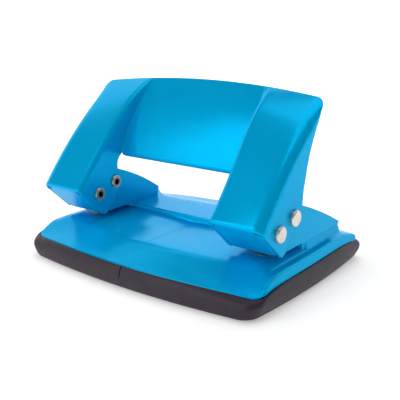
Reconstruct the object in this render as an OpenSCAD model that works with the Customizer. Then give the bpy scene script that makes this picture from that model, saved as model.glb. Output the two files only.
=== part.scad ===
/* [Punching] */
// Distance between the two punched holes
hole_spacing = 80; // [78:0.5:82]
// Diameter of each punch
punch_d = 5.5; // [5:0.1:6]
// Distance from the paper stop to the row of holes
paper_margin = 11; // [10.5:0.5:12]

/* [Base] */
// Width of the chip tray between its corners
tray_w = 106.4; // [104:0.2:110]
// Depth of the chip tray between its corners
tray_d = 76.8; // [74:0.2:80]
// How far the front and back edges of the tray bulge
front_bulge = 4.6; // [2:0.1:6]
// How far the sides of the tray bulge
side_bulge = 0.8; // [0.2:0.1:2]
// Width of the base plate between its corners
plate_w = 104; // [102:0.2:106]
// Depth of the base plate between its corners
plate_d = 67.8; // [66:0.2:70]
// How far the front and back edges of the base plate bulge
plate_bulge = 7.2; // [5:0.1:8]
// Height of the tray's rim
rim_z = 8.6; // [8:0.1:9]
// Height of the plateau that the paper lies on
plateau_z = 14.5; // [14.2:0.1:14.8]
// Height of the raised platform that carries the brackets
platform_z = 16.5; // [16.2:0.1:17]
// Thickness of the sheet steel
sheet = 1.2; // [1:0.1:1.2]

/* [Lever] */
// Width of each arm of the lever
arm_w = 20.8; // [20:0.2:21]
// Height of the lever's top edge at its ends
crest_z = 64.8; // [62:0.2:68]
// How much higher the top edge is at the middle
crest_rise = 3.1; // [1:0.1:4]
// How far the arms' front faces curve outwards
front_crown = 1.2; // [0.5:0.1:1.5]
// Angle that the lever turns through when it is pressed
press_angle = 30; // [20:1:30]

/* [Pins] */
// Diameter of the pivot and drive pins
pin_d = 4; // [3.6:0.1:4]
// Radial clearance of the pivot pins in the brackets
pin_play = 0.05; // [0.03:0.01:0.08]

/* [Hidden] */
$fn = 48;
eps = 0.01;
ENAMEL = [0.0, 0.55, 0.82];
PLASTIC = [0.20, 0.16, 0.20];
STEEL = [0.72, 0.71, 0.69];
TOOL_STEEL = [0.50, 0.51, 0.53];
RUBBER = [0.08, 0.08, 0.09];

// Outlines of the base, each as [half width, front corners, back corners, end bulge, side bulge]
tray_foot = [tray_w / 2 - 2.7, tray_d / 2 - 0.6, tray_d / 2 - 0.6, front_bulge - 0.5, side_bulge + 0.8];
tray_low = [tray_w / 2 - 1.7, tray_d / 2 + 0.2, tray_d / 2 + 0.2, front_bulge - 0.3, side_bulge + 0.6];
tray_belly = [tray_w / 2, tray_d / 2, tray_d / 2, front_bulge, side_bulge];
plate_edge = [plate_w / 2, plate_d / 2, plate_d / 2, plate_bulge, 0.1];
dome_foot = [plate_w / 2 - 0.4, plate_d / 2 - 0.6, plate_d / 2 - 4, plate_bulge, 0.1];
dome_shoulder = [plate_w / 2 - 0.9, 26, 24, 6, 0.1];
dome_top = [plate_w / 2 - 5, 21.5, 15, 5.5, 0.1];

// Tray: a shallow dish with a rim round the plate's edge
tray_bottom = 0.4;
low_z = 1.6;
belly_z = 4.8;
tray_wall = 2.4;
tray_floor = 1.5;
rim_gap = 0.3;
rim_wall = 0.7;
corner_r = 3;
seat_z = rim_z - sheet;
seat_w = 1.8;
pad_r = 5;
pad_depth = 0.6;
pad_x = 37;
pad_y = 27;
groove_w = 0.7;
groove_z = 3.4;
groove_depth = 0.4;

// Base plate: a flange, a dome with the plateau on top, and the platform behind the paper stop
stop_y = -1.6;
punch_y = stop_y - paper_margin;
shoulder_z = 12;
platform_x = 47.5;
platform_mid_y = 14.5;
platform_side_y = 27.5;
mark_w = 0.6;
mark_depth = 0.25;
mark_y = [-27, -8];
bush_r = 4.5;
bush_flange_r = 5.6;
bush_foot_z = plateau_z - 3;
die_r = punch_d / 2 + 0.1;

// Pivot and drive pins, as [y, z] in the side view
pivot = [-21.9, 24.8];
drive = [-12.9, 28.0];
pin_r = pin_d / 2;
drive_r = norm(drive - pivot);
drive_a = atan2(drive[1] - pivot[1], drive[0] - pivot[0]);
function drive_at(a) = pivot + drive_r * [cos(drive_a - a), sin(drive_a - a)];

// Brackets: a web on the platform and two walls that taper towards the back
bracket_half = arm_w / 2 - sheet - 0.3;
web_z = platform_z + sheet;
web_front_y = -17.9;
ear_r = 3.3;
tail_front_y = -12;
tail_inner_y = 14.5;
tail_outer_y = 24;
tail_outer_fall = [0.385, 0.0029];
tail_inner_fall = [0.47, 0.0068];
slot_r = pin_r + 0.5;
guide_r = punch_d / 2 + 0.05;
rivet_y = [3.6, 10.6];
rivet_r = 1.6;
rivet_head_r = 2.8;
spacer_r = 3.3;

// Lever, in the side view: the arms' fronts run from the nose up to the crest
nose = [-32.6, 28];
crest = [5.6, crest_z];
front_out = [nose[1] - crest[1], crest[0] - nose[0]] / norm(crest - nose);
front_steps = 10;
tuck_end = [-20.4, 16.9];
wall_tip = [-19.2, 15.8];
panel_foot = [-8.9, 39.6];
lip_r = 1.1;
crest_ext = 5;
lobe_r = 3.7;
crest_r = (pow(tray_w / 2, 2) + pow(crest_rise, 2)) / (2 * crest_rise);

// Punches and springs
tip_z = platform_z + 0.4;
tip_hollow = 0.7;
head_r = 4.7;
head_z = drive[1] - pin_r - 1.15;
head_top_z = drive[1] + pin_r + 1;
slot_w = pin_d + 0.9;
slot_h = pin_d + 0.3;
spring_r = 3.7;
wire_r = 0.25;
spring_turns = 3.5;
turn_steps = 20;
spring_steps = spring_turns * turn_steps;
wire_sides = 8;

// ---- Placing: each arm is drawn about its own middle plane, with +X towards the outside ----
module on_right() translate([hole_spacing / 2, 0, 0]) children();
module on_left() mirror([1, 0, 0]) on_right() children();

// Draws a side view (y, z) as a plate from x to x + t
module side_plate(x, t) translate([x, 0, 0]) rotate([90, 0, 90]) linear_extrude(t) children();

// A cylinder along X through the side-view point p
module cross_pin(p, r, len) translate([0, p[0], p[1]]) rotate([0, 90, 0])
    cylinder(h = len, r = r, center = true);

// ---- Outlines ----
// Points along a side from a to b that bulges to its right by rise
function bulged_side(a, b, rise, n = 12) = let (d = b - a, out = [d[1], -d[0]] / norm(d))
    [for (i = [0 : n - 1]) let (t = i / n) a + d * t + out * rise * 4 * t * (1 - t)];

// Points round an outline of the base, with its four sides bulged
function edge_points(o) = let (x = o[0], y0 = -o[1], y1 = o[2])
    concat(bulged_side([-x, y0], [x, y0], o[3]), bulged_side([x, y0], [x, y1], o[4]),
           bulged_side([x, y1], [-x, y1], o[3]), bulged_side([-x, y1], [-x, y0], o[4]));

// An outline with rounded corners, drawn in by in
module outline(o, in = 0) offset(delta = -in) offset(r = corner_r) offset(delta = -corner_r)
    polygon(edge_points(o));
module layer(z) translate([0, 0, z]) linear_extrude(eps) children();

// ---- Tray ----
module chip_tray() color(PLASTIC) difference() {
    hull() {
        layer(tray_bottom) outline(tray_foot);
        layer(low_z) outline(tray_low);
        layer(belly_z) outline(tray_belly);
        layer(rim_z - eps) outline(plate_edge, -rim_gap - rim_wall);
    }
    hull() {
        layer(tray_bottom + tray_floor) outline(tray_low, tray_wall);
        layer(seat_z) outline(plate_edge, seat_w);
    }
    translate([0, 0, seat_z]) linear_extrude(rim_z) outline(plate_edge, -rim_gap);
    at_pads() cylinder(h = tray_bottom + pad_depth, r = pad_r + 0.1);
    translate([-groove_w / 2, -tray_d / 2 - front_bulge - eps, groove_z])
        cube([groove_w, groove_depth, belly_z - groove_z]);
}

module at_pads() for (x = [-pad_x, pad_x], y = [-pad_y, pad_y]) translate([x, y, 0]) children();
module non_slip_pads() color(RUBBER) at_pads() cylinder(h = tray_bottom + pad_depth, r = pad_r);

// ---- Base plate ----
// The outer form of the plate's raised part, or its hollow when drawn in by a sheet's thickness
module dome(in) hull() {
    layer(seat_z - in) outline(dome_foot, in);
    layer(shoulder_z - in) outline(dome_shoulder, in);
    layer(plateau_z - in - eps) outline(dome_top, in);
}

module platform(in) translate([0, 0, seat_z - in]) linear_extrude(platform_z - seat_z)
    offset(delta = -in) offset(r = corner_r) offset(delta = -corner_r) polygon([
        [-platform_x, stop_y], [platform_x, stop_y], [platform_x, platform_side_y], [38, 22.3],
        [31, 16.8], [26, platform_mid_y], [-26, platform_mid_y], [-31, 16.8], [-38, 22.3],
        [-platform_x, platform_side_y]]);

module base_plate() color(ENAMEL) difference() {
    union() {
        translate([0, 0, seat_z]) linear_extrude(sheet) outline(plate_edge);
        dome(0);
        platform(0);
    }
    dome(sheet);
    platform(sheet);
    for (s = [-1, 1]) translate([s * hole_spacing / 2, 0, 0]) {
        translate([0, punch_y, bush_foot_z]) cylinder(h = plateau_z, r = bush_r);
        for (y = rivet_y) translate([0, y, seat_z]) cylinder(h = platform_z, r = rivet_r);
    }
    translate([-mark_w / 2, mark_y[0], plateau_z - mark_depth]) cube([mark_w, mark_y[1] - mark_y[0], 1]);
}

module die_bush() color(TOOL_STEEL) translate([0, punch_y, bush_foot_z]) difference() {
    union() {
        cylinder(h = plateau_z - bush_foot_z, r = bush_r);
        cylinder(h = plateau_z - sheet - bush_foot_z, r = bush_flange_r);
    }
    translate([0, 0, -1]) cylinder(h = plateau_z, r = die_r);
}
module die_bush_left() on_left() die_bush();
module die_bush_right() on_right() die_bush();

// ---- Brackets ----
// Height of a wall's curved top edge at the distance y, for a fall given as [slope, curve]
function tail_z(y, fall) = 28.4 - fall[0] * y - fall[1] * y * y;

// Side view of a bracket wall whose tail ends at tail_y
module bracket_wall(tail_y, fall) {
    down_front = pivot + ear_r * [-0.68, -0.73];
    polygon(concat(
        [down_front, [web_front_y, platform_z], [tail_y - 0.9, platform_z]],
        [for (i = [0 : 14]) let (y = tail_y + (tail_front_y - tail_y) * i / 14) [y, tail_z(y, fall)]],
        [pivot + ear_r * [-0.3, 0.954]]));
    translate(pivot) circle(r = ear_r);
}

module bracket() color(ENAMEL) difference() {
    union() {
        side_plate(bracket_half - sheet, sheet) bracket_wall(tail_outer_y, tail_outer_fall);
        side_plate(-bracket_half, sheet) bracket_wall(tail_inner_y, tail_inner_fall);
        translate([0, 0, platform_z]) linear_extrude(sheet) polygon([[-bracket_half, web_front_y],
            [bracket_half, web_front_y], [bracket_half, tail_outer_y - 0.9],
            [-bracket_half, tail_inner_y - 0.9]]);
    }
    cross_pin(pivot, pin_r + pin_play, arm_w);
    hull() {
        cross_pin(drive, slot_r, arm_w);
        cross_pin(drive_at(press_angle), slot_r, arm_w);
    }
    translate([0, punch_y, 0]) cylinder(h = web_z + 1, r = guide_r);
    for (y = rivet_y) translate([0, y, 0]) cylinder(h = web_z + 1, r = rivet_r);
}
module bracket_left() on_left() bracket();
module bracket_right() on_right() bracket();

// Two rivets that hold a bracket's web on the platform
module bracket_rivets() color(STEEL) for (y = rivet_y) translate([0, y, platform_z - sheet - 0.9])
    rotate_extrude() polygon([[0, 0], [rivet_head_r, 0], [rivet_head_r, 0.9], [rivet_r, 0.9],
        [rivet_r, 0.9 + 2 * sheet], [rivet_head_r, 0.9 + 2 * sheet], [rivet_head_r - 0.3, 1.5 + 2 * sheet],
        [1.2, 1.9 + 2 * sheet], [0, 2 + 2 * sheet]]);
module bracket_rivets_left() on_left() bracket_rivets();
module bracket_rivets_right() on_right() bracket_rivets();

// Tube on the pivot pin that keeps the bracket's walls apart
module pivot_spacer() color(STEEL) difference() {
    cross_pin(pivot, spacer_r, 2 * (bracket_half - sheet) - 0.2);
    cross_pin(pivot, pin_r + pin_play, arm_w);
}
module pivot_spacer_left() on_left() pivot_spacer();
module pivot_spacer_right() on_right() pivot_spacer();

// ---- Lever ----
// Points along the arms' front faces, drawn in by in
function front_point(t, in = 0) = nose + (crest - nose) * t
    + front_out * (front_crown * 4 * t * (1 - t) - in);
function front_line(in = 0) = [for (i = [0 : front_steps]) front_point(i / front_steps, in)];
function backwards(points) = [for (i = [len(points) - 1 : -1 : 0]) points[i]];

// Outer wall of an arm: narrow at the crest and deep at the nose
module outer_wall_view() {
    polygon(concat([wall_tip], front_line(), [[3.4, 63], [-2.9, 46.7], [-5, 39.1], [-6.5, 31.2],
        [-7.8, 28], [-10.4, 24.6], [-15, 18.4]]));
    translate(drive) circle(r = lobe_r);
}

// Inner wall of an arm: it carries the middle panel and has the window's corner
module inner_wall_view() {
    polygon(concat([wall_tip], front_line(), [panel_foot, [-10, 38.6], [-12, 37.2], [-12.2, 33],
        [-9.3, 28], [-10.4, 24.6], [-15.6, 18.2]]));
    translate(drive) circle(r = lobe_r);
}

// The sheet across the front of an arm, folded under at the nose
module front_view() {
    up = (crest - nose) / norm(crest - nose) * crest_ext;
    polygon(concat(front_line(), [crest + up, crest + up - front_out * sheet], backwards(front_line(sheet))));
    under = (tuck_end - nose) / norm(tuck_end - nose);
    inwards = [-under[1], under[0]] * sheet;
    polygon([nose, tuck_end, tuck_end + inwards, nose + inwards + [sheet, 0]]);
}

// The middle panel: flush with the arms at the crest and set back at its rolled foot
module panel_view() {
    along = (crest - panel_foot) / norm(crest - panel_foot);
    behind = [along[1], -along[0]] * sheet;
    polygon([panel_foot, panel_foot + behind, crest + along * crest_ext + behind, crest + along * crest_ext]);
    translate(panel_foot + behind / 2) circle(r = lip_r);
}

module lever() color(ENAMEL) intersection() {
    difference() {
        union() {
            for (s = [0, 1]) mirror([s, 0, 0]) on_right() {
                side_plate(arm_w / 2 - sheet, sheet) outer_wall_view();
                side_plate(-arm_w / 2, sheet) inner_wall_view();
                side_plate(-arm_w / 2, arm_w) front_view();
            }
            side_plate(arm_w / 2 - hole_spacing / 2 - sheet, hole_spacing - arm_w + 2 * sheet) panel_view();
        }
        cross_pin(pivot, pin_r, 2 * hole_spacing);
        cross_pin(drive, pin_r, 2 * hole_spacing);
    }
    translate([0, 0, crest_z + crest_rise - crest_r]) rotate([90, 0, 0])
        cylinder(h = 4 * tray_d, r = crest_r, center = true, $fn = 360);
}

// A rivet along X with a domed outer head and a hollow inner end, through the side-view point p
module hollow_pin(p) {
    half = arm_w / 2;
    bore_r = 0.6 * pin_r;
    flare_r = 1.25 * pin_r;
    dome_r = 1.42 * pin_r;
    color(STEEL) translate([0, p[0], p[1]]) rotate([0, 90, 0]) rotate_extrude() polygon(concat(
        [[0, -half + 5], [bore_r, -half + 5], [bore_r, -half - 0.7], [flare_r - 0.2, -half - 0.7],
         [flare_r, -half - 0.4], [flare_r, -half], [pin_r, -half], [pin_r, half]],
        [[dome_r, half]],
        [for (a = [0 : 15 : 90]) [dome_r - 0.9 + 0.9 * cos(a), half + 0.9 + 0.6 * sin(a)]],
        [[0, half + 1.65]]));
}
module pivot_pin_left() on_left() hollow_pin(pivot);
module pivot_pin_right() on_right() hollow_pin(pivot);
module drive_pin_left() on_left() hollow_pin(drive);
module drive_pin_right() on_right() hollow_pin(drive);

// ---- Punches and springs ----
module punch() color(TOOL_STEEL) translate([0, punch_y, 0]) difference() {
    union() {
        translate([0, 0, tip_z]) cylinder(h = head_z - tip_z + 1, r = punch_d / 2);
        translate([0, 0, head_z]) cylinder(h = head_top_z - head_z, r = head_r);
    }
    translate([-head_r - 1, -slot_w / 2, drive[1] - slot_h / 2]) cube([2 * head_r + 2, slot_w, slot_h]);
    translate([0, 0, tip_z - punch_d + tip_hollow]) rotate([90, 0, 0])
        cylinder(h = 2 * punch_d, r = punch_d, center = true);
}
module punch_left() on_left() punch();
module punch_right() on_right() punch();

// Height of the spring's wire at the share u of its length, with closed ends
function spring_z(u) = web_z + wire_r + (head_z - web_z - 2 * wire_r) * (u < 0.15 ? 0.3 * u
    : u > 0.85 ? 1 - 0.3 * (1 - u) : 0.045 + (u - 0.15) * 1.3);
// Points round the wire at the step i
function spring_ring(i) = let (a = 360 * i / turn_steps, z = spring_z(i / spring_steps))
    [for (k = [0 : wire_sides - 1]) let (b = 360 * k / wire_sides, r = spring_r + wire_r * cos(b))
        [r * cos(a), r * sin(a), z + wire_r * sin(b)]];
module spring() color(STEEL) translate([0, punch_y, 0]) polyhedron(
    points = [for (i = [0 : spring_steps]) each spring_ring(i)],
    faces = concat([[for (k = [0 : wire_sides - 1]) k]],
        [for (i = [0 : spring_steps - 1], k = [0 : wire_sides - 1])
            let (a = i * wire_sides, n = (k + 1) % wire_sides)
            [a + k, a + wire_sides + k, a + wire_sides + n, a + n]],
        [[for (k = [wire_sides - 1 : -1 : 0]) spring_steps * wire_sides + k]]));
module spring_left() on_left() spring();
module spring_right() on_right() spring();

chip_tray();
non_slip_pads();
base_plate();
die_bush_left();
die_bush_right();
bracket_left();
bracket_right();
bracket_rivets_left();
bracket_rivets_right();
pivot_spacer_left();
pivot_spacer_right();
lever();
pivot_pin_left();
pivot_pin_right();
drive_pin_left();
drive_pin_right();
punch_left();
punch_right();
spring_left();
spring_right();
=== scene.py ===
import math

import bmesh
import bpy
import numpy as np
from mathutils import Euler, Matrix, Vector


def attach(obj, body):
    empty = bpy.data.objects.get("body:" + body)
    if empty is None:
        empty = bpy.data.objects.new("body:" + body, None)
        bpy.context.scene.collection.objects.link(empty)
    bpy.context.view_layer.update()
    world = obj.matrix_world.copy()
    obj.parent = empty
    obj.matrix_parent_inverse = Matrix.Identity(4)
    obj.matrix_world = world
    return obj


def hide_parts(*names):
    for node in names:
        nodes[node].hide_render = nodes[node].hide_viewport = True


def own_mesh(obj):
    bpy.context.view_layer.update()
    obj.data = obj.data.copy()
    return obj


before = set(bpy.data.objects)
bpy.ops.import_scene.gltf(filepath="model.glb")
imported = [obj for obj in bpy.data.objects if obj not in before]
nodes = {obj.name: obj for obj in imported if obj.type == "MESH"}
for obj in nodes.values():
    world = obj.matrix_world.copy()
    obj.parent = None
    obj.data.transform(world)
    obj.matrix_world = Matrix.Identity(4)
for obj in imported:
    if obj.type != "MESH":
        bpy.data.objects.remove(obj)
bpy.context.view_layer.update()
MM = 0.001
# The pins' places in the side view (y, z), in millimetres as in the CAD
PIVOT, DRIVE = (-21.9, 24.8), (-12.9, 28.0)
# Painted shade in a pin's hollow end: the metal is painted dark up to this radius from the pin's axis,
# over the bore and most of the flare, and bright again past the edge
BORE_SHADE_R, BORE_SHADE_EDGE = 1.6, 0.12
# The painted dark bores are in the pins' inner ends, which lie closer to the middle than this, in metres
INNER_END_X = 0.045

# ---------------------------------------------------------------- materials


def new_material(name, **shader):
    """A node material whose constant values sit on the shader's own sockets."""
    mat = bpy.data.materials.new(name)
    mat.use_nodes = True
    bsdf = mat.node_tree.nodes["Principled BSDF"]
    for socket, value in shader.items():
        bsdf.inputs[socket.replace("_", " ")].default_value = value
    return mat, mat.node_tree, bsdf


def node(tree, kind, inputs=None, **props):
    """Adds a node, sets its properties and its unlinked inputs."""
    made = tree.nodes.new(kind)
    for key, value in props.items():
        setattr(made, key, value)
    for key, value in (inputs or {}).items():
        made.inputs[key].default_value = value
    return made


def noise(tree, scale, detail=3.0, rough=0.5, stretch=None):
    """Noise over the object's own coordinates, scale in cells a metre."""
    coords = node(tree, "ShaderNodeTexCoord")
    source = coords.outputs["Object"]
    if stretch:
        mapping = node(tree, "ShaderNodeMapping")
        mapping.inputs["Scale"].default_value = stretch
        tree.links.new(source, mapping.inputs["Vector"])
        source = mapping.outputs["Vector"]
    tex = node(tree, "ShaderNodeTexNoise", {"Scale": scale, "Detail": detail, "Roughness": rough})
    tree.links.new(source, tex.inputs["Vector"])
    return tex.outputs["Fac"]


def ramp(tree, fac, low, high, start=0.3, end=0.7):
    """A colour ramp from low to high."""
    made = node(tree, "ShaderNodeValToRGB")
    for stop, position, value in zip(made.color_ramp.elements, (start, end), (low, high)):
        stop.position = position
        stop.color = (*value, 1) if hasattr(value, "__len__") else (value, value, value, 1)
    tree.links.new(fac, made.inputs["Fac"])
    return made.outputs["Color"]


def bump(tree, bsdf, *layers):
    """Chains bump layers, each (height, distance in metres, strength)."""
    last = None
    for height, distance, strength in layers:
        made = node(tree, "ShaderNodeBump", {"Strength": strength, "Distance": distance})
        tree.links.new(height, made.inputs["Height"])
        if last:
            tree.links.new(last, made.inputs["Normal"])
        last = made.outputs["Normal"]
    tree.links.new(last, bsdf.inputs["Normal"])


def enamel():
    """Glossy blue enamel with a faint orange peel; its reflections take the blue."""
    mat, tree, bsdf = new_material("enamel_blue", Metallic=0.3, Specular_IOR_Level=0.09,
                                   Specular_Tint=(0.0, 0.70, 1.0, 1.0))
    tone = ramp(tree, noise(tree, 45, 2), (0.0, 0.41, 0.765), (0.0, 0.435, 0.805))
    tree.links.new(tone, bsdf.inputs["Base Color"])
    tree.links.new(ramp(tree, noise(tree, 240, 3), 0.17, 0.24), bsdf.inputs["Roughness"])
    bump(tree, bsdf, (noise(tree, 520, 2), 0.00004, 0.08), (noise(tree, 2600, 2), 0.00001, 0.05))
    return mat


def moulded_plastic():
    """Satin aubergine plastic with a fine spark-eroded grain."""
    mat, tree, bsdf = new_material("plastic_aubergine", Specular_IOR_Level=0.35)
    tone = ramp(tree, noise(tree, 160, 4), (0.023, 0.013, 0.025), (0.031, 0.0185, 0.033))
    tree.links.new(tone, bsdf.inputs["Base Color"])
    tree.links.new(ramp(tree, noise(tree, 900, 3), 0.42, 0.56), bsdf.inputs["Roughness"])
    bump(tree, bsdf, (noise(tree, 4200, 3, 0.6), 0.00004, 0.25), (noise(tree, 90, 2), 0.0001, 0.05))
    return mat


def plated_steel(name="steel_plated", axis=None):
    """Bright plated rivet steel with fine handling marks; round an axis (y, z) the bore is painted dark,
    as painted shade in the pin's hollow end.
    """
    mat, tree, bsdf = new_material(name, Metallic=1.0)
    tone = ramp(tree, noise(tree, 400, 3), (0.62, 0.575, 0.53), (0.74, 0.70, 0.655))
    if axis:
        # Painted shade: on the pins' inner ends, within the bore's radius of the axis, the tone gives way
        # to a dark brown-black that stands in for the shade in the hollow end and on the flare's inner
        # slope
        coords = node(tree, "ShaderNodeTexCoord")
        flat = node(tree, "ShaderNodeVectorMath", operation="MULTIPLY")
        flat.inputs[1].default_value = (0, 1, 1)
        tree.links.new(coords.outputs["Object"], flat.inputs[0])
        gap = node(tree, "ShaderNodeVectorMath", operation="DISTANCE")
        gap.inputs[1].default_value = (0, axis[0] * MM, axis[1] * MM)
        tree.links.new(flat.outputs["Vector"], gap.inputs[0])
        inside = ramp(tree, gap.outputs["Value"], 1.0, 0.0, BORE_SHADE_R * MM, (BORE_SHADE_R + BORE_SHADE_EDGE) * MM)
        spread = node(tree, "ShaderNodeSeparateXYZ")
        tree.links.new(coords.outputs["Object"], spread.inputs["Vector"])
        side = node(tree, "ShaderNodeMath", operation="ABSOLUTE")
        tree.links.new(spread.outputs["X"], side.inputs[0])
        inner = node(tree, "ShaderNodeMath", {1: INNER_END_X}, operation="LESS_THAN")
        tree.links.new(side.outputs["Value"], inner.inputs[0])
        both = node(tree, "ShaderNodeMath", operation="MULTIPLY")
        tree.links.new(inside, both.inputs[0])
        tree.links.new(inner.outputs["Value"], both.inputs[1])
        mix = node(tree, "ShaderNodeMix", data_type="RGBA")
        tree.links.new(both.outputs["Value"], mix.inputs["Factor"])
        tree.links.new(tone, mix.inputs["A"])
        # The dark brown-black of the painted bore shade
        dark = ramp(tree, noise(tree, 900, 3), (0.020, 0.008, 0.008), (0.06, 0.022, 0.020))
        tree.links.new(dark, mix.inputs["B"])
        tone = mix.outputs["Result"]
    tree.links.new(tone, bsdf.inputs["Base Color"])
    tree.links.new(ramp(tree, noise(tree, 1500, 4), 0.30, 0.42), bsdf.inputs["Roughness"])
    bump(tree, bsdf, (noise(tree, 1800, 3), 0.00003, 0.18))
    return mat


def tool_steel():
    """Ground tool steel with turning marks round its length."""
    mat, tree, bsdf = new_material("steel_ground", Metallic=1.0)
    turned = (0.2, 0.2, 6)
    tone = ramp(tree, noise(tree, 600, 3, stretch=turned), (0.36, 0.36, 0.38), (0.50, 0.50, 0.51))
    tree.links.new(tone, bsdf.inputs["Base Color"])
    tree.links.new(ramp(tree, noise(tree, 900, 3, stretch=turned), 0.24, 0.38), bsdf.inputs["Roughness"])
    bump(tree, bsdf, (noise(tree, 1200, 2, stretch=(0.15, 0.15, 5)), 0.00002, 0.2))
    return mat


def rubber():
    """Matte black rubber with a coarse moulded grain."""
    mat, tree, bsdf = new_material("rubber_black", Specular_IOR_Level=0.3)
    tone = ramp(tree, noise(tree, 700, 4), (0.018, 0.018, 0.019), (0.035, 0.034, 0.034))
    tree.links.new(tone, bsdf.inputs["Base Color"])
    tree.links.new(ramp(tree, noise(tree, 1200, 3), 0.75, 0.92), bsdf.inputs["Roughness"])
    bump(tree, bsdf, (noise(tree, 2400, 3), 0.00008, 0.35))
    return mat


ENAMEL = enamel()
PLASTIC = moulded_plastic()
PLATED = plated_steel()
TOOL = tool_steel()
RUBBER = rubber()
PIVOT_STEEL_SHADED_BORE = plated_steel("steel_plated_pivot_painted_bore_shade", PIVOT)
DRIVE_STEEL_SHADED_BORE = plated_steel("steel_plated_drive_painted_bore_shade", DRIVE)

# ---------------------------------------------------------------- mesh helpers


def mesh_object(name, verts, faces, mat, body):
    """A smooth-shaded mesh piece from points in millimetres, riding on a body."""
    mesh = bpy.data.meshes.new(name)
    mesh.from_pydata([tuple(c * MM for c in v) for v in verts], [], faces)
    mesh.update()
    mesh.materials.append(mat)
    mesh.shade_smooth()
    obj = bpy.data.objects.new(name, mesh)
    bpy.context.scene.collection.objects.link(obj)
    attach(obj, body)
    return obj


def thicken(obj, thickness):
    """Gives a sheet its thickness, on the side that its faces look away from."""
    mod = obj.modifiers.new("sheet", "SOLIDIFY")
    mod.thickness, mod.offset = thickness * MM, -1.0
    mod.use_even_offset = False


def soften(obj, width):
    """Rounds the sharp edges and keeps the flat faces flat."""
    mod = obj.modifiers.new("edges", "BEVEL")
    mod.width, mod.segments = width * MM, 3
    mod.limit_method, mod.angle_limit = "ANGLE", math.radians(40)
    mod.use_clamp_overlap = False
    mod.harden_normals = False
    mod.miter_outer = "MITER_ARC"
    weigh = obj.modifiers.new("normals", "WEIGHTED_NORMAL")
    weigh.keep_sharp, weigh.weight = False, 60


def orient(obj, outward):
    """Turns the faces the same way, so that the one farthest along outward looks along it."""
    bm = bmesh.new()
    bm.from_mesh(obj.data)
    bmesh.ops.remove_doubles(bm, verts=bm.verts, dist=1e-6)
    bmesh.ops.recalc_face_normals(bm, faces=bm.faces)
    bm.faces.ensure_lookup_table()
    far = max(bm.faces, key=lambda f: f.calc_center_median().dot(Vector(outward)))
    if far.normal.dot(Vector(outward)) < 0:
        bmesh.ops.reverse_faces(bm, faces=bm.faces)
    bm.to_mesh(obj.data)
    bm.free()


def smoothstep(t):
    """Eases from 0 to 1 as t goes from 0 to 1."""
    t = np.clip(t, 0, 1)
    return t * t * (3 - 2 * t)


# ---------------------------------------------------------------- lever
# A point on an arm is (s, depth, x): s runs along the front from the nose to the crest, depth goes
# in from the front's chord, and x is across. The sizes are those of the CAD lever, in millimetres.

NOSE, CREST = np.array([-32.6, 28.0]), np.array([5.6, 64.8])
FRONT_LEN = float(np.linalg.norm(CREST - NOSE))
ALONG = (CREST - NOSE) / FRONT_LEN
INWARD = np.array([ALONG[1], -ALONG[0]])
# Middle and half width of an arm, and the thickness of the sheet
ARM_X, ARM_HALF, SHEET = 40.0, 10.4, 1.2
# How far the front stands out from its chord at an arm's outer side, at its inner side and on the panel
FRONT_BULGE, INNER_BULGE, PANEL_BULGE = 2.3, 3.0, 1.9
# The crown of the top edge: how far back and up it goes, between which ends, and from where along s
CROWN_BACK, CROWN_UP = 2.5, 3.1
CREST_HALF = 50.2
CROWN_S = 30
# Radius of the top edge's corners in the front view, and where along s they start
CREST_CORNER_R = 3.2
CORNER_S = 45
# The foot of the middle panel: its place along s, its depth, and its directions down and back
FOOT_S, FOOT_DEPTH = 25.1, 8.1
FOOT_DOWN = np.array([0, -0.4988, -0.8668])
FOOT_BACK = np.array([0, 0.8668, -0.4988])
FOOT_ROLL_R = 1.35
# Radii of the folds at the nose, at the front's outer and inner edges, and beside the panel
NOSE_R, OUTER_R, INNER_R, PANEL_R = 1.1, 3.8, 2.0, 0.9
# How far the arms widen inwards, and from where along s and over what length
INNER_FLARE = 2.8
FLARE_S, FLARE_LEN = 12, FRONT_LEN - 6
# The least depth of an outer wall, and how far an inner wall leans where its fold is flattened
LEAST_WALL = 1.3
FLAT_LEAN = 0.9
# The share by which the walls' edges lean along s as they go in from the nose, fading out at NOSE_LEAN_S
NOSE_LEAN, NOSE_LEAN_S = 0.066, 15
# The tongue under the nose: its length, its end's corner radius, and its gap to the walls
TONGUE_LEN, TONGUE_R, SEAM = 17.1, 2.2, 0.14
# Radius of the pins' holes in the walls, and how far past it faces are cut and points drawn in
HOLE_R, HOLE_CUT, HOLE_DRAW = 1.95, 0.2, 1.2

# How deep the walls go at places along s, each as (s, depth)
OUTER_EDGE = np.array([
    (-0.5, 17.2), (0.4, 18.0), (1.4, 18.4), (5.6, 18.9), (9.5, 18.5), (13.6, 17.9), (16.5, 17.6),
    (18.6, 17.0), (21.0, 15.6), (23.0, 13.9), (25.0, 12.4), (27.6, 11.1), (29.7, 9.7), (34.4, 7.2),
    (39.5, 5.1), (44.6, 3.3), (46.4, 2.7), (48.1, 1.9), (49.9, 0.9), (53.1, 0.9)])
INNER_EDGE = np.array([
    (-0.5, 17.2), (0.4, 18.0), (1.4, 18.4), (5.4, 18.8), (9.0, 18.5), (13.0, 17.9), (15.3, 17.2),
    (16.7, 15.9), (17.5, 14.0), (18.2, 11.6), (19.2, 9.9), (20.6, 8.7), (22.2, 8.15), (23.6, 8.1),
    (25.1, 8.1), (53.1, 0.0)])


def eased(points, s):
    """Reads a listed outline at s, with its corners eased."""
    grid = np.linspace(s - 0.5, s + 0.5, 9)
    return float(np.mean(np.interp(grid, points[:, 0], points[:, 1])))


def bulge(s, x):
    """How far the front stands out from its chord at a place across the arm."""
    t = min(max(s / FRONT_LEN, 0.0), 1.0)
    outer = FRONT_BULGE * 4 * t * (1 - t)
    inner = INNER_BULGE * 6.75 * t * t * (1 - t)
    share = min(max((ARM_X + ARM_HALF - abs(x)) / (2 * ARM_HALF), 0.0), 1.0)
    return outer + (inner - outer) * share


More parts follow.
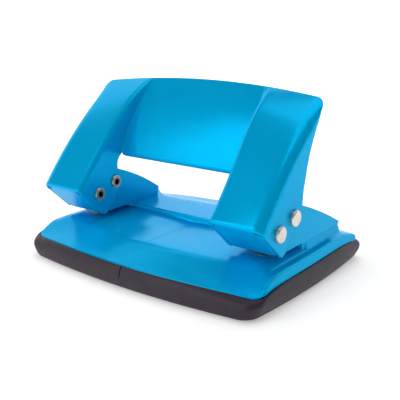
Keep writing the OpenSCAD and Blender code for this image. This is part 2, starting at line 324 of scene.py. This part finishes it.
def panel_bulge(s):
    """How far the middle panel stands out from its chord."""
    t = min(max((s - FOOT_S) / (FRONT_LEN - FOOT_S), 0.0), 1.0)
    return PANEL_BULGE * 4 * t * (1 - t)


def lever_point(s, depth, x):
    """World position in millimetres of an arm's point, with the crowned top edge and its round corners."""
    over = max(0.0, min(abs(x), ARM_X + ARM_HALF) - (ARM_X + ARM_HALF - CREST_CORNER_R))
    drop = CREST_CORNER_R - math.sqrt(max(0.0, CREST_CORNER_R ** 2 - over ** 2))
    s_in = s - drop * float(smoothstep((s - CORNER_S) / (FRONT_LEN - CORNER_S)))
    y, z = NOSE + ALONG * s_in + INWARD * (depth - bulge(s_in, x))
    crown = max(0.0, 1 - (x / CREST_HALF) ** 2) * float(smoothstep((s - CROWN_S) / (FRONT_LEN - CROWN_S)))
    return np.array([x, y + CROWN_BACK * crown, z + CROWN_UP * crown])


def inner_x(s):
    """The inner wall's place at s: the arms widen inwards towards the crest."""
    return ARM_X - ARM_HALF - INNER_FLARE * float(smoothstep((s - FLARE_S) / FLARE_LEN))


# How many steps an arm's walls, folds and front have across, and the panel's fold and width
N_WALL, N_FOLD, N_FRONT = 30, 9, 14
N_PANEL_FOLD, N_PANEL = 7, 36
# The length of a step along s beside the window, and how many sections lie from the panel's foot up
WINDOW_STEP = 0.45
N_UPPER = 56


def arm_section(s, full):
    """Points (s, depth, x) across the right arm from the outer wall's back edge to the inner wall's.

    Where a wall has less depth than its folds need, the whole fold is flattened to the depth it has.
    Above the window, where full is true, the inner wall ends at the middle panel."""
    b = bulge(s, ARM_X + ARM_HALF)
    ro, ri, rp = OUTER_R, INNER_R, PANEL_R
    s_end = s - CREST_CORNER_R * float(smoothstep((s - CORNER_S) / (FRONT_LEN - CORNER_S)))
    has_o = max(eased(OUTER_EDGE, s_end) + b * (1 - s / FRONT_LEN), LEAST_WALL)
    deep_o = max(has_o, ro + 1.0)
    flat_o = has_o / deep_o
    if full:
        inner_front = bulge(s, ARM_X - ARM_HALF)
        chord = FOOT_DEPTH * (FRONT_LEN - s) / (FRONT_LEN - FOOT_S)
        has_i = max(chord - panel_bulge(s) + inner_front, 0.0) + 0.03
        deep_i = max(has_i, ri + rp + 0.3)
    else:
        has_i = deep_i = eased(INNER_EDGE, s) + bulge(s, ARM_X - ARM_HALF)
    flat_i = has_i / deep_i

    def sunk(theta):
        """How far the surface is drawn in by the nose's rounding, at the angle theta round a fold."""
        rho = NOSE_R * (1 - theta / 90) ** 0.7
        return rho - math.sqrt(max(0.0, rho ** 2 - max(0.0, rho - s) ** 2)) if s < rho else 0.0

    def slanted(depth):
        """The place along s at a depth, with the lean of the walls' edges near the nose."""
        return s + NOSE_LEAN * max(depth, 0) * max(0.0, 1 - s / NOSE_LEAN_S)

    out = []
    xo, xi = ARM_X + ARM_HALF, inner_x(s)
    for k in range(N_WALL):
        d = deep_o + (ro - deep_o) * k / N_WALL
        out.append((slanted(d), d * flat_o, xo))
    for k in range(N_FOLD):
        theta = 90 * (1 - k / N_FOLD)
        c, sn = math.cos(math.radians(theta)), math.sin(math.radians(theta))
        r = ro - sunk(theta)
        d = ro - r * c
        out.append((slanted(d), d * flat_o, xo - ro + r * sn))
    for k in range(N_FRONT + 1):
        x = xo - ro + (xi + ri - xo + ro) * k / N_FRONT
        out.append((s, sunk(0), x))
    for k in range(1, N_FOLD + 1):
        theta = 90 * k / N_FOLD
        c, sn = math.cos(math.radians(theta)), math.sin(math.radians(theta))
        r = ri - sunk(theta)
        d = ri - r * c
        out.append((slanted(d), d * flat_i, xi + ri - r * sn))
    last = deep_i - rp if full else deep_i
    for k in range(1, N_WALL + 1):
        d = ri + (last - ri) * k / N_WALL
        out.append((slanted(d), d * flat_i, xi - FLAT_LEAN * (1 - flat_i) * k / N_WALL))
    return out, deep_i, flat_i


def panel_section(s, deep, flat):
    """Points from the right inner wall's concave fold across the middle panel to the left one's.

    The wall ends at the depth deep, and flat is the share to which its fold is flattened."""
    rp = PANEL_R
    xi = inner_x(s) - FLAT_LEAN * (1 - flat)
    out = []
    for k in range(1, N_PANEL_FOLD + 1):
        a = math.radians(90 * k / N_PANEL_FOLD)
        out.append((s, (deep - rp + rp * math.sin(a)) * flat, xi - rp + rp * math.cos(a)))
    right = list(out)
    for k in range(1, N_PANEL):
        x = (xi - rp) * (1 - 2 * k / N_PANEL)
        out.append((s, deep * flat, x))
    out += [(a, d, -x) for a, d, x in reversed(right)]
    return out


def cut_pin_holes(obj):
    """Opens the side walls where the pins pass through; the holes' edges lie just inside the pins."""
    bm = bmesh.new()
    bm.from_mesh(obj.data)

    def gap(v, pin):
        return math.hypot(v.co.y / MM - pin[0], v.co.z / MM - pin[1])

    def on_wall(v):
        x = abs(v.co.x) / MM
        return abs(x - ARM_X - ARM_HALF) < 0.1 or abs(x - ARM_X + ARM_HALF) < 0.3

    for pin in (PIVOT, DRIVE):
        walls = [f for f in bm.faces if all(on_wall(v) for v in f.verts)]
        cut = [f for f in walls if any(gap(v, pin) < HOLE_R + HOLE_CUT for v in f.verts)]
        bmesh.ops.delete(bm, geom=cut, context="FACES")
        for v in bm.verts:
            if v.is_boundary and on_wall(v) and gap(v, pin) < HOLE_R + HOLE_DRAW:
                a = math.atan2(v.co.z / MM - pin[1], v.co.y / MM - pin[0])
                v.co.y = (pin[0] + HOLE_R * math.cos(a)) * MM
                v.co.z = (pin[1] + HOLE_R * math.sin(a)) * MM
    bmesh.ops.delete(bm, geom=[v for v in bm.verts if not v.link_faces], context="VERTS")
    bm.to_mesh(obj.data)
    bm.free()


def add_row(verts, faces, strip, points):
    """Adds a row of points, joins it to the strip of points before it, and returns its indices."""
    row = list(range(len(verts), len(verts) + len(points)))
    verts.extend(points)
    faces.extend((strip[k + 1], strip[k], row[k], row[k + 1]) for k in range(len(row) - 1))
    return row


def roll_foot(verts, faces, foot):
    """Rolls the middle panel's lower edge backwards."""
    strip = foot
    for step in range(1, 13):
        a = math.radians(170 * step / 12)
        shift = FOOT_DOWN * FOOT_ROLL_R * math.sin(a) + FOOT_BACK * FOOT_ROLL_R * (1 - math.cos(a))
        strip = add_row(verts, faces, strip, [np.array(verts[c]) + shift for c in foot])


def fold_tongue(verts, faces, strip, sign):
    """Folds the tongue under an arm's nose; sign is 1 on the right arm and -1 on the left."""
    inner_half = ARM_HALF - SHEET - SEAM
    bend = TONGUE_LEN - TONGUE_R
    depths = [2.3, 2.7, INNER_R + 1.35, OUTER_R + 0.2, 4, 5, 7, 9, 11, 13, bend]
    depths += [bend + TONGUE_R * math.sin(math.radians(a)) for a in range(10, 91, 10)]
    for d in depths:
        inset = TONGUE_R - math.sqrt(max(0.0, TONGUE_R ** 2 - max(0.0, d - TONGUE_LEN + TONGUE_R) ** 2))
        x_out = ARM_X + (inner_half - inset if d >= OUTER_R + 0.15 else ARM_HALF - OUTER_R)
        x_in = ARM_X - (inner_half - inset if d >= INNER_R + 1.3 else ARM_HALF - INNER_R)
        y, z = NOSE + ALONG * (NOSE_LEAN * max(0.0, d - NOSE_R)) + INWARD * d
        points = []
        for k in range(N_FRONT + 1):
            t = k / N_FRONT if sign > 0 else 1 - k / N_FRONT
            points.append(np.array([sign * (x_out + (x_in - x_out) * t), y, z]))
        strip = add_row(verts, faces, strip, points)


def build_lever():
    """The lever's pressing: two arms with the middle panel between them, in one sheet."""
    stations = [NOSE_R * (1 - math.cos(math.radians(a))) for a in range(0, 90, 15)]
    stations += list(np.arange(NOSE_R, FOOT_S - 0.3, WINDOW_STEP)) + [FOOT_S]
    foot_row = len(stations) - 1
    stations += list(np.linspace(FOOT_S, FRONT_LEN, N_UPPER))[1:]
    verts, faces, rows = [], [], []

    def add(points):
        start = len(verts)
        verts.extend(lever_point(*p) for p in points)
        return list(range(start, len(verts)))

    for i, s in enumerate(stations):
        full = i >= foot_row
        right, deep, flat = arm_section(s, full)
        left = [(a, d, -x) for a, d, x in reversed(right)]
        mid = panel_section(s, deep, flat) if full else []
        rows.append((add(right), add(mid), add(left)))
    for low, high in zip(rows, rows[1:]):
        if low[1]:
            strips = [(low[0] + low[1] + low[2], high[0] + high[1] + high[2])]
        else:
            strips = [(low[0], high[0]), (low[2], high[2])]
        for a, b in strips:
            faces += [(a[k], a[k + 1], b[k + 1], b[k]) for k in range(len(a) - 1)]

    roll_foot(verts, faces, rows[foot_row][1])
    first = N_WALL + N_FOLD
    fold_tongue(verts, faces, rows[0][0][first:first + N_FRONT + 1], 1)
    first = len(rows[0][2]) - 1 - N_WALL - N_FOLD - N_FRONT
    fold_tongue(verts, faces, rows[0][2][first:first + N_FRONT + 1], -1)

    obj = mesh_object("lever_pressing", verts, faces, ENAMEL, "lever")
    orient(obj, (0, -0.6, 0.8))
    cut_pin_holes(obj)
    thicken(obj, SHEET)
    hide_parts("lever")


# ---------------------------------------------------------------- base plate
# Half width and half depth at the corners, how far the sides and the front and back bulge, and the
# radius of the corners
PLATE_X, PLATE_Y = 52.3, 34.5
SIDE_BULGE, END_BULGE = 0.1, 6.2
CORNER_R = 3.0
# The bulge grows in from these shares of the way to the edge, over these shares
SIDE_FROM, SIDE_OVER = 0.86, 0.14
END_FROM, END_OVER = 0.55, 0.45
PLATE_SHEET = 0.9
# The tray's rim, which the plate's edge follows: half width and half depth, its height in the middle of
# the front and of the sides, how far it drops from there to the corners, and how much higher the back is
RIM_X, RIM_Y = 53, 36
RIM_FRONT_Z, RIM_FRONT_DROP = 8.2, 1.1
RIM_SIDE_Z, RIM_SIDE_DROP = 9.1, 2.0
RIM_BACK_RISE = 0.5
# Place and radius of the dies' seats
DIE_Y, DIE_R = -12.6, 4.52
# The paper stop's place, and the heights of the plateau before it and the platform behind it
STOP_Y, PLATEAU_Z, PLATFORM_Z = -1.6, 14.5, 16.5
PLATFORM = np.array([
    (-47.6, STOP_Y), (47.6, STOP_Y), (47.6, 25.5), (45.6, 27.6), (43, 26.8), (38, 22.3), (31, 16.8),
    (26, 14.5), (-26, 14.5), (-31, 16.8), (-38, 22.3), (-43, 26.8), (-45.6, 27.6), (-47.6, 25.5)])


def plan(u, v, half_x, half_y, corner):
    """Maps the square (u, v) onto the plate's outline with bulged edges and round corners."""
    x, y = u * half_x, v * half_y
    p, q = np.abs(x) - (half_x - corner), np.abs(y) - (half_y - corner)
    both = (p > 0) & (q > 0)
    p1, q1 = np.where(both, p, 1), np.where(both, q, 1)
    k = np.maximum(p1, q1) / np.hypot(p1, q1)
    x = np.where(both, np.sign(x) * (half_x - corner + p1 * k), x)
    y = np.where(both, np.sign(y) * (half_y - corner + q1 * k), y)
    nx, ny = np.clip(x / half_x, -1, 1), np.clip(y / half_y, -1, 1)
    x2 = x + np.sign(x) * SIDE_BULGE * (1 - ny ** 2) * smoothstep((np.abs(u) - SIDE_FROM) / SIDE_OVER)
    y2 = y + np.sign(y) * END_BULGE * (1 - nx ** 2) * smoothstep((np.abs(v) - END_FROM) / END_OVER)
    return x2, y2


def rim_height(x, y):
    """The tray's rim: high along the sides, lower along the front and back, lowest at the corners."""
    nx, ny = np.clip(np.abs(x) / RIM_X, 0, 1), np.clip(np.abs(y) / RIM_Y, 0, 1)
    front = RIM_FRONT_Z - RIM_FRONT_DROP * nx ** 4
    side = RIM_SIDE_Z - RIM_SIDE_DROP * ny ** 5
    back = smoothstep((np.asarray(y) + 5) / 30)
    blend = smoothstep((nx - ny + 0.25) / 0.5)
    low = front * (1 - blend) + side * blend
    return low + RIM_BACK_RISE * back


def soft_min(a, b, k):
    """The lower of a and b, with a soft bend of the size k where they cross."""
    h = np.clip(0.5 + 0.5 * (b - a) / k, 0, 1)
    return b * (1 - h) + a * h - k * h * (1 - h)


def soft_max(a, b, k):
    """The higher of a and b, with a soft bend of the size k where they cross."""
    return -soft_min(-a, -b, k)


def inside_distance(x, y, poly):
    """Distance to the outline, positive inside it."""
    best = np.full(x.shape, 1e9)
    inside = np.zeros(x.shape, bool)
    n = len(poly)
    for i in range(n):
        (x0, y0), (x1, y1) = poly[i], poly[(i + 1) % n]
        dx, dy = x1 - x0, y1 - y0
        t = np.clip(((x - x0) * dx + (y - y0) * dy) / (dx * dx + dy * dy), 0, 1)
        best = np.minimum(best, np.hypot(x - x0 - t * dx, y - y0 - t * dy))
        if y0 != y1:
            crosses = ((y0 > y) != (y1 > y)) & (x < (x1 - x0) * (y - y0) / (y1 - y0) + x0)
            inside ^= crosses
    return np.where(inside, best, -best)


def profile(e, points, ease):
    """A cross-section read at the distance e from an edge, with its corners eased."""
    px, pz = zip(*points)
    total = 0
    for shift in np.linspace(-ease, ease, 9):
        total = total + np.interp(e + shift, px, pz)
    return total / 9


# Cross-sections from the plate's edge inwards, as (distance from the edge, height over the tray's rim)
FRONT_RISE = [(-1, -0.3), (0, 0.0), (0.9, 0.35), (8.3, 3.55), (12.2, 5.3), (16, 5.75), (24, 6.25),
              (30, 6.4), (99, 6.4)]
SIDE_RISE = [(-1, -0.1), (0.1, 0.0), (0.35, 0.5), (0.8, 2.5), (1.3, 3.1), (3.4, 3.4), (5.6, 4.7),
             (8.6, 5.5), (99, 5.5)]
BACK_RISE = [(-1, -0.1), (0.1, 0.0), (0.4, 0.6), (1.2, 2.0), (2.2, 2.6), (10, 3.7), (18, 5.6), (99, 6.2)]
# Cross-sections over the platform's edge, as (distance inwards, height): sharp at the paper stop and
# soft behind it
STOP_EDGE = [(-3, 5), (-0.28, 8), (-0.14, 15.2), (0.02, 16.2), (0.3, PLATFORM_Z), (99, PLATFORM_Z)]
BACK_EDGE = [(-3, 5), (-1.0, 12), (-0.5, 15.0), (0.1, 16.25), (0.9, PLATFORM_Z), (99, PLATFORM_Z)]
# The centre mark pressed into the plateau: its half width, its depth and its ends
MARK_W, MARK_DEPTH = 0.2, 0.1
MARK_FRONT_Y, MARK_BACK_Y = -29, -7.9


def plate_height(x, y):
    """Height of the plate's upper surface at a place."""
    nx, ny = np.clip(np.abs(x) / PLATE_X, 0, 1), np.clip(np.abs(y) / PLATE_Y, 0, 1)
    y_edge = PLATE_Y + END_BULGE * (1 - nx ** 2)
    x_edge = PLATE_X + SIDE_BULGE * (1 - ny ** 2)
    rim = rim_height(x, y) - 0.1
    front = rim + profile(y + y_edge, FRONT_RISE, 1.2)
    side = rim + profile(x_edge - np.abs(x), SIDE_RISE, 0.25)
    back = rim + profile(y_edge - y, BACK_RISE, 0.4)
    z = soft_min(soft_min(front, side, 0.7), back, 0.7)
    z = soft_min(z, PLATEAU_Z, 0.5)
    d = inside_distance(x, y, PLATFORM)
    at_stop = 1 - smoothstep((y - STOP_Y - 0.4) / 2)
    raised = at_stop * profile(d, STOP_EDGE, 0.06) + (1 - at_stop) * profile(d, BACK_EDGE, 0.3)
    z = soft_max(z, raised, 0.3)
    mark = np.exp(-(x / MARK_W) ** 2) * smoothstep(y - MARK_FRONT_Y) * smoothstep(MARK_BACK_Y - y)
    return z - MARK_DEPTH * mark


def dense_line(half, extra, step):
    """Positions from -half to half, a step apart, and closer round each (centre, reach, step) in extra."""
    pts = set(np.round(np.arange(-half, half + 1e-6, step), 3)) | {-half, half}
    for centre, width, fine in extra:
        pts |= set(np.round(np.arange(centre - width, centre + width + 1e-6, fine), 3))
    pts = sorted(p for p in pts if -half <= p <= half)
    kept = [pts[0]]
    for p in pts[1:]:
        if p - kept[-1] > 0.055:
            kept.append(p)
    kept[-1] = half
    return np.array(kept)


def build_plate():
    """The base plate's pressing, as a grid of points over its outline with holes for the dies."""
    closer = [(0, 0.8, 0.1), (51.4, 1.6, 0.12), (-51.4, 1.6, 0.12), (47.6, 1.2, 0.2), (-47.6, 1.2, 0.2)]
    us = dense_line(PLATE_X, closer, 0.6)
    vs = dense_line(PLATE_Y, [(STOP_Y + 0.1, 0.9, 0.08), (33.5, 1.6, 0.2)], 0.55)
    across, along = np.meshgrid(us / PLATE_X, vs / PLATE_Y)
    x, y = plan(across, along, PLATE_X, PLATE_Y, CORNER_R)
    verts = np.stack([x, y, plate_height(x, y)], -1).reshape(-1, 3)
    holes = [(side * ARM_X, DIE_Y) for side in (-1, 1)]
    drop = np.zeros(x.shape, bool)
    for cx, cy in holes:
        drop |= np.hypot(x - cx, y - cy) < DIE_R + 0.25
    rows, columns = x.shape
    faces = []
    for j in range(rows - 1):
        for i in range(columns - 1):
            if drop[j:j + 2, i:i + 2].any():
                continue
            a = j * columns + i
            faces.append((a, a + 1, a + columns + 1, a + columns))
    obj = mesh_object("base_plate_pressing", verts, faces, ENAMEL, "frame")
    bm = bmesh.new()
    bm.from_mesh(obj.data)
    bmesh.ops.delete(bm, geom=[v for v in bm.verts if not v.link_faces], context="VERTS")
    for cx, cy in holes:
        for v in bm.verts:
            if v.is_boundary and math.hypot(v.co.x / MM - cx, v.co.y / MM - cy) < DIE_R + 2:
                a = math.atan2(v.co.y / MM - cy, v.co.x / MM - cx)
                v.co.x = (cx + DIE_R * math.cos(a)) * MM
                v.co.y = (cy + DIE_R * math.sin(a)) * MM
    bmesh.ops.recalc_face_normals(bm, faces=bm.faces)
    top = max(bm.faces, key=lambda f: f.calc_center_median().z)
    if top.normal.z < 0:
        bmesh.ops.reverse_faces(bm, faces=bm.faces)
    bm.to_mesh(obj.data)
    bm.free()
    thicken(obj, PLATE_SHEET)
    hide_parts("base_plate")


# ---------------------------------------------------------------- tray
# Each layer, from the underside's middle over the rim and back down to the floor inside: half width and
# half depth at the corners, side and end bulge, corner radius, and then its height in millimetres, or
# None and its height as a share of the rim's
TRAY_LAYERS = [
    (41.0, 29.0, 1.8, 3.6, 3.0, 0.40, None), (48.6, 36.6, 1.8, 3.6, 3.5, 0.40, None),
    (49.9, 37.7, 1.9, 3.7, 4.0, 0.46, None), (50.5, 38.2, 2.0, 3.8, 4.4, 0.75, None),
    (50.9, 38.45, 1.9, 3.9, 4.6, 1.25, None), (51.4, 38.6, 1.7, 4.0, 4.6, 2.1, None),
    (52.0, 38.65, 1.4, 4.15, 4.6, 3.1, None), (52.5, 38.6, 1.15, 4.25, 4.5, 4.1, None),
    (52.8, 38.45, 0.95, 4.35, 4.4, 4.9, None), (53.0, 38.15, 0.75, 4.5, 4.2, None, 0.70),
    (53.1, 37.7, 0.55, 4.7, 4.0, None, 0.79), (53.15, 37.1, 0.4, 5.0, 3.8, None, 0.87),
    (53.15, 36.45, 0.3, 5.4, 3.7, None, 0.93), (53.12, 35.9, 0.2, 5.75, 3.6, None, 0.97),
    (53.05, 35.5, 0.15, 6.0, 3.5, None, 0.99), (52.95, 35.2, 0.1, 6.2, 3.4, None, 1.0),
    (52.75, 34.95, 0.1, 6.2, 3.3, None, 1.0), (52.6, 34.8, 0.1, 6.2, 3.2, None, 0.985),
    (52.5, 34.7, 0.1, 6.2, 3.1, None, 0.955), (52.45, 34.65, 0.1, 6.2, 3.1, None, 0.875),
    (51.0, 33.3, 0.1, 6.2, 2.8, None, 0.875), (50.8, 33.1, 0.1, 6.2, 2.8, None, 0.86),
    (49.6, 36.0, 1.0, 3.9, 2.8, 4.0, None), (48.6, 35.6, 1.5, 3.6, 3.0, 1.9, None),
    (41.0, 29.0, 1.8, 3.6, 3.0, 1.9, None)]
# The slit in the middle of the front: its half width, its depth, its lower end, and the half width that
# a layer on the wall's outside goes past
SLIT_W, SLIT_DEPTH = 0.24, 0.55
SLIT_FOOT_Z = 4.6
OUTSIDE_X = 52.4
# Points across the middle of the front, close together at the slit, and how far they reach
SLIT_XS = [-1.4, -0.9, -0.6, -0.42, -0.3, -0.2, -0.1, 0, 0.1, 0.2, 0.3, 0.42, 0.6, 0.9, 1.4]
SLIT_REACH = 1.9
# The bulge of a layer grows in from this share of the way to its edge, over this share
BULGE_FROM, BULGE_OVER = 0.8, 0.2


def ring(half_x, half_y, side_bulge, end_bulge, r):
    """Points round one layer of the tray, closer together beside the slit in the front."""

    def corner_arc(cx, cy, a0):
        return [(cx + r * math.cos(math.radians(a0 + a)), cy + r * math.sin(math.radians(a0 + a)))
                for a in np.linspace(0, 90, 13)]

    steps = np.linspace(-1, 1, 90)[1:-1]
    front = sorted([x * (half_x - r) for x in steps if abs(x * half_x) > SLIT_REACH] + SLIT_XS)
    sides = np.linspace(-1, 1, 70)[1:-1] * (half_y - r)
    pts = corner_arc(half_x - r, -half_y + r, -90)
    pts += [(half_x, y) for y in sides]
    pts += corner_arc(half_x - r, half_y - r, 0)
    pts += [(x, half_y) for x in reversed(front)]
    pts += corner_arc(-half_x + r, half_y - r, 90)
    pts += [(-half_x, y) for y in reversed(sides)]
    pts += corner_arc(-half_x + r, -half_y + r, 180)
    pts += [(x, -half_y) for x in front]
    out = []
    for x, y in pts:
        nx, ny = max(-1, min(1, x / half_x)), max(-1, min(1, y / half_y))
        near_x = float(smoothstep((abs(nx) - BULGE_FROM) / BULGE_OVER))
        near_y = float(smoothstep((abs(ny) - BULGE_FROM) / BULGE_OVER))
        bx = math.copysign(side_bulge * (1 - ny ** 2), x) * near_x
        by = math.copysign(end_bulge * (1 - nx ** 2), y) * near_y
        out.append((x + bx, y + by))
    return out


def build_tray():
    """The chip tray's moulding, from its underside over the rim to its floor."""
    verts, faces, rings = [], [], []
    for half_x, half_y, side_bulge, end_bulge, corner, above, share in TRAY_LAYERS:
        start = len(verts)
        for x, y in ring(half_x, half_y, side_bulge, end_bulge, corner):
            z = above if share is None else float(rim_height(x, y)) * share
            in_slit = y < 0 and z > SLIT_FOOT_Z and half_x > OUTSIDE_X
            slit = math.exp(-((x / SLIT_W) ** 4)) if in_slit else 0
            verts.append((x, y + SLIT_DEPTH * slit, z))
        rings.append(list(range(start, len(verts))))
    n = len(rings[0])
    for a, b in zip(rings, rings[1:]):
        faces += [(a[k], a[(k + 1) % n], b[(k + 1) % n], b[k]) for k in range(n)]
    faces.append(tuple(reversed(rings[0])))
    faces.append(tuple(rings[-1]))
    obj = mesh_object("chip_tray_moulding", verts, faces, PLASTIC, "tray")
    orient(obj, (0, 0, 1))
    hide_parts("chip_tray")


# ---------------------------------------------------------------- springs
def build_spring(name, side):
    """A compression spring round a punch, with closed ends, from the bracket's web to the punch's head."""
    low, high = 17.7, 24.85
    r, wire = 3.7, 0.27
    turns, sides = 5.0, 12
    steps = int(turns * 36)
    verts, faces = [], []
    for i in range(steps + 1):
        u = i / steps
        a = 2 * math.pi * turns * u
        lift = np.interp(u, [0, 0.17, 0.83, 1], [0, 0.08, 0.92, 1])
        z = low + wire + (high - low - 2 * wire) * lift
        for k in range(sides):
            b = 2 * math.pi * k / sides
            out = r + wire * math.cos(b)
            x, y = side * ARM_X + out * math.cos(a), DIE_Y + out * math.sin(a)
            verts.append((x, y, z + wire * math.sin(b)))
    for i in range(steps):
        for k in range(sides):
            a, b = i * sides + k, i * sides + (k + 1) % sides
            faces.append((a, b, b + sides, a + sides))
    faces.append(tuple(range(sides)))
    faces.append(tuple(reversed(range(steps * sides, (steps + 1) * sides))))
    obj = mesh_object(name + "_coil", verts, faces, TOOL, "frame")
    orient(obj, (0, 0, 1))
    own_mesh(obj)
    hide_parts(name)


build_lever()
build_plate()
build_tray()
build_spring("spring_left", -1)
build_spring("spring_right", 1)

# ---------------------------------------------------------------- CAD nodes that stay
# Each with its material and the width, in millimetres, by which its edges are softened
KEPT = {
    "bracket_left": (ENAMEL, 0.3), "bracket_right": (ENAMEL, 0.3),
    "non_slip_pads": (RUBBER, 0), "die_bush_left": (TOOL, 0), "die_bush_right": (TOOL, 0),
    "bracket_rivets_left": (PLATED, 0), "bracket_rivets_right": (PLATED, 0),
    "pivot_spacer_left": (PLATED, 0), "pivot_spacer_right": (PLATED, 0),
    "pivot_pin_left": (PIVOT_STEEL_SHADED_BORE, 0), "pivot_pin_right": (PIVOT_STEEL_SHADED_BORE, 0),
    "drive_pin_left": (DRIVE_STEEL_SHADED_BORE, 0), "drive_pin_right": (DRIVE_STEEL_SHADED_BORE, 0),
    "punch_left": (TOOL, 0), "punch_right": (TOOL, 0),
}
for name, (mat, edge) in KEPT.items():
    obj = nodes[name]
    obj.data.materials.clear()
    obj.data.materials.append(mat)
    if edge:
        soften(obj, edge)

# ---------------------------------------------------------------- stage, light and camera
SCENE = bpy.context.scene


def floor():
    """A pale sweep that glows by itself: flat under the part, curving up behind it and rising gently far
    off on all sides.

    Its rows and columns are pairs of a distance in metres, backwards or across, and a height."""
    mesh = bpy.data.meshes.new("floor")
    back = Vector((-0.608, 0.794, 0))
    across = Vector((0.794, 0.608, 0))
    rows = [(-9.0, 1.2), (-5.0, 0.0), (-4.9, 0.0), (1.5, 0.0)]
    bend = [math.radians(a) for a in range(6, 91, 6)]
    rows += [(1.5 + 1.2 * math.sin(a), 1.2 * (1 - math.cos(a))) for a in bend]
    rows += [(2.7, 4.0)]
    columns = [(-9.0, 1.2), (-5.0, 0.0), (-4.9, 0.0), (4.9, 0.0), (5.0, 0.0), (9.0, 1.2)]
    verts, faces = [], []
    for along, up in rows:
        for side, lift in columns:
            verts.append(tuple(back * along + across * side + Vector((0, 0, up + lift))))
    n = len(columns)
    for k in range(len(rows) - 1):
        faces += [(a, a + 1, a + 1 + n, a + n) for a in range(k * n, k * n + n - 1)]
    mesh.from_pydata(verts, [], faces)
    mesh.shade_smooth()
    mat, tree, bsdf = new_material("floor_pale_glowing", Specular_IOR_Level=0.1, Emission_Color=(1, 1, 1, 1))
    coords = node(tree, "ShaderNodeTexCoord")
    far = node(tree, "ShaderNodeVectorMath", operation="LENGTH")
    tree.links.new(coords.outputs["Object"], far.inputs[0])
    # Painted shade: the floor's own glow is weaker within reach of the part and stronger far off, so the
    # floor round the part is painted dimmer
    glow = ramp(tree, far.outputs["Value"], 0.36, 0.80, 0.12, 0.6)
    tree.links.new(glow, bsdf.inputs["Emission Strength"])
    tone = ramp(tree, noise(tree, 6, 2), (0.91, 0.91, 0.91), (0.94, 0.94, 0.94))
    tree.links.new(tone, bsdf.inputs["Base Color"])
    tree.links.new(ramp(tree, noise(tree, 40, 2), 0.8, 0.9), bsdf.inputs["Roughness"])
    mesh.materials.append(mat)
    obj = bpy.data.objects.new("floor", mesh)
    SCENE.collection.objects.link(obj)


def area_light(name, place, target, size, power):
    """A soft white rectangular light at a place, turned to a target."""
    data = bpy.data.lights.new(name, "AREA")
    data.shape = "RECTANGLE"
    data.size, data.size_y = size
    data.energy = power
    obj = bpy.data.objects.new(name, data)
    obj.location = place
    obj.rotation_mode = "QUATERNION"
    obj.rotation_quaternion = (Vector(target) - Vector(place)).to_track_quat("-Z", "Y")
    SCENE.collection.objects.link(obj)


def studio():
    """A dim white world with a soft light above and one in front."""
    world = bpy.data.worlds.new("studio")
    world.use_nodes = True
    world.node_tree.nodes["Background"].inputs["Color"].default_value = (1, 1, 1, 1)
    world.node_tree.nodes["Background"].inputs["Strength"].default_value = 0.14
    SCENE.world = world
    area_light("top", (0.1, 0.15, 1.0), (0, 0, 0.02), (0.9, 0.9), 4.0)
    area_light("front", (-0.4, -0.95, 0.62), (0, 0, 0.03), (0.8, 0.8), 5.2)
    SCENE.view_settings.view_transform = "Standard"


def camera():
    """The camera, in front of the punch and to its right, a little above it."""
    data = bpy.data.cameras.new("camera")
    data.sensor_width, data.lens = 36.0, 60.16
    data.clip_start, data.clip_end = 0.01, 50
    obj = bpy.data.objects.new("camera", data)
    obj.location = (0.15208, -0.19548, 0.09258)
    obj.rotation_euler = Euler((math.radians(74.21), 0, math.radians(37.46)))
    SCENE.collection.objects.link(obj)
    SCENE.camera = obj


floor()
studio()
camera()
